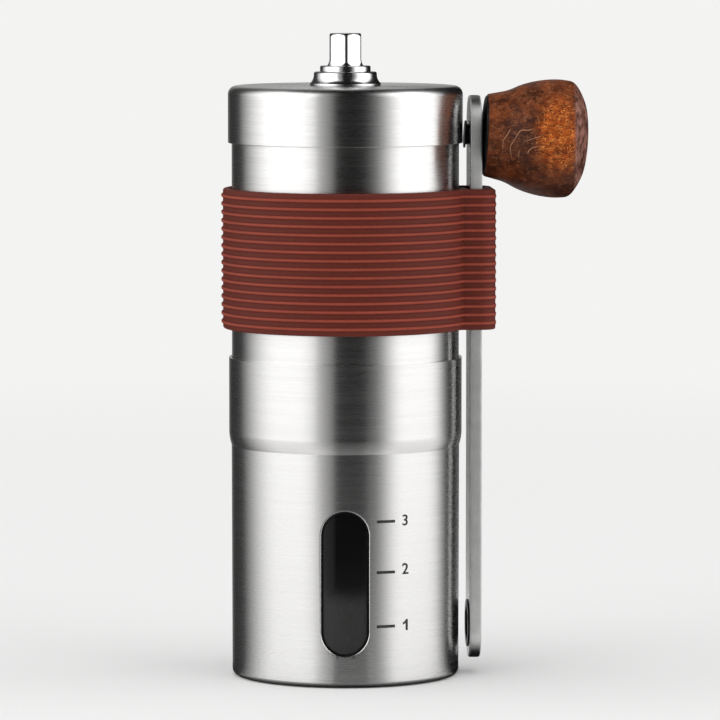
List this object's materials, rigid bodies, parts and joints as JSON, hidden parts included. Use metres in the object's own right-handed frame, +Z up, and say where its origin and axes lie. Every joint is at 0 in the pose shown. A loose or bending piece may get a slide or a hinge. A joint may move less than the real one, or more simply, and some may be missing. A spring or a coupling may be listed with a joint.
{
  "type": "manual coffee grinder",
  "caption": "Slim steel hand coffee grinder with a ribbed grip band, a window in its cup, a hexagonal drive head and a stowed crank with a turned wooden knob.",
  "frame": {"origin": "centre of the cup's flat base, on the tube's axis", "axes": "+Z up along the tube's axis, -Y towards the front with the cup's window, +X towards the stowed crank"},
  "size_m": [0.0751, 0.0508, 0.1316],
  "materials": {
    "brushed_steel": "brushed around the axis",
    "arm_steel": "satin",
    "machined_steel": "machined",
    "dark_steel": "black",
    "chrome": "polished",
    "brass": "turned",
    "smoked_plastic": "smoked, clear",
    "black_plastic": "fine texture",
    "burr_ceramic": "matt",
    "band_silicone": "satin",
    "knob_wood": "stained, satin lacquer"
  },
  "bodies": {
    "body": {"body_tube": "brushed_steel", "grip_band": "band_silicone", "burr_housing": "black_plastic", "ring_burr": "burr_ceramic", "burr_retaining_ring": "black_plastic", "retaining_screws": "machined_steel", "lower_bush": "brass", "thrust_washer": "machined_steel", "bearing_bridge": "black_plastic", "upper_bush": "brass"},
    "lid": {"lid_shell": "brushed_steel", "lid_bushing": "chrome", "lid_push_nut": "black_plastic"},
    "cup": {"cup_sleeve": "brushed_steel", "cup_jar": "smoked_plastic"},
    "shaft": {"drive_shaft": "machined_steel", "spring_seat": "machined_steel", "burr_spring": "machined_steel"},
    "burr": {"cone_burr": "burr_ceramic", "burr_carrier": "black_plastic", "click_plate": "machined_steel"},
    "adjuster": {"adjuster_nut": "black_plastic", "nut_insert": "brass"},
    "crank": {"crank_arm": "arm_steel", "drive_socket": "dark_steel", "knob_pin": "dark_steel", "pin_clip": "machined_steel"},
    "knob": {"wood_knob": "knob_wood", "knob_bush": "brass", "knob_cap": "dark_steel"}
  },
  "joints": [
    {"name": "shaft_spin", "type": "hinge", "parent": "body", "child": "shaft", "pos_m": [0, 0, 0.0788], "axis": [0, 0, 1], "continuous": true},
    {"name": "burr_slide", "type": "slide", "parent": "shaft", "child": "burr", "axis": [0, 0, 1], "range_m": [-0.0015, 0.0006], "deforming": ["burr_spring"]},
    {"name": "adjuster_turn", "type": "hinge", "parent": "burr", "child": "adjuster", "pos_m": [0, 0, 0.0486], "axis": [0, 0, 1], "range_deg": [-540, 216]},
    {"name": "lid_lift", "type": "slide", "parent": "body", "child": "lid", "axis": [0, 0, 1], "range_m": [0, 0.03]},
    {"name": "cup_pull", "type": "slide", "parent": "body", "child": "cup", "axis": [0, 0, -1], "range_m": [0, 0.04]},
    {"name": "crank_pull", "type": "slide", "parent": "body", "child": "crank", "axis": [0, 0, 1], "range_m": [0, 0.1]},
    {"name": "knob_spin", "type": "hinge", "parent": "crank", "child": "knob", "pos_m": [0.02761, 0.00154, 0.11079], "axis": [0.9971, 0.0557, -0.0523], "continuous": true}
  ],
  "couplings": [
    {"joint": "adjuster_turn", "follows": "burr_slide", "rad_per_m": 6283.2}
  ]
}
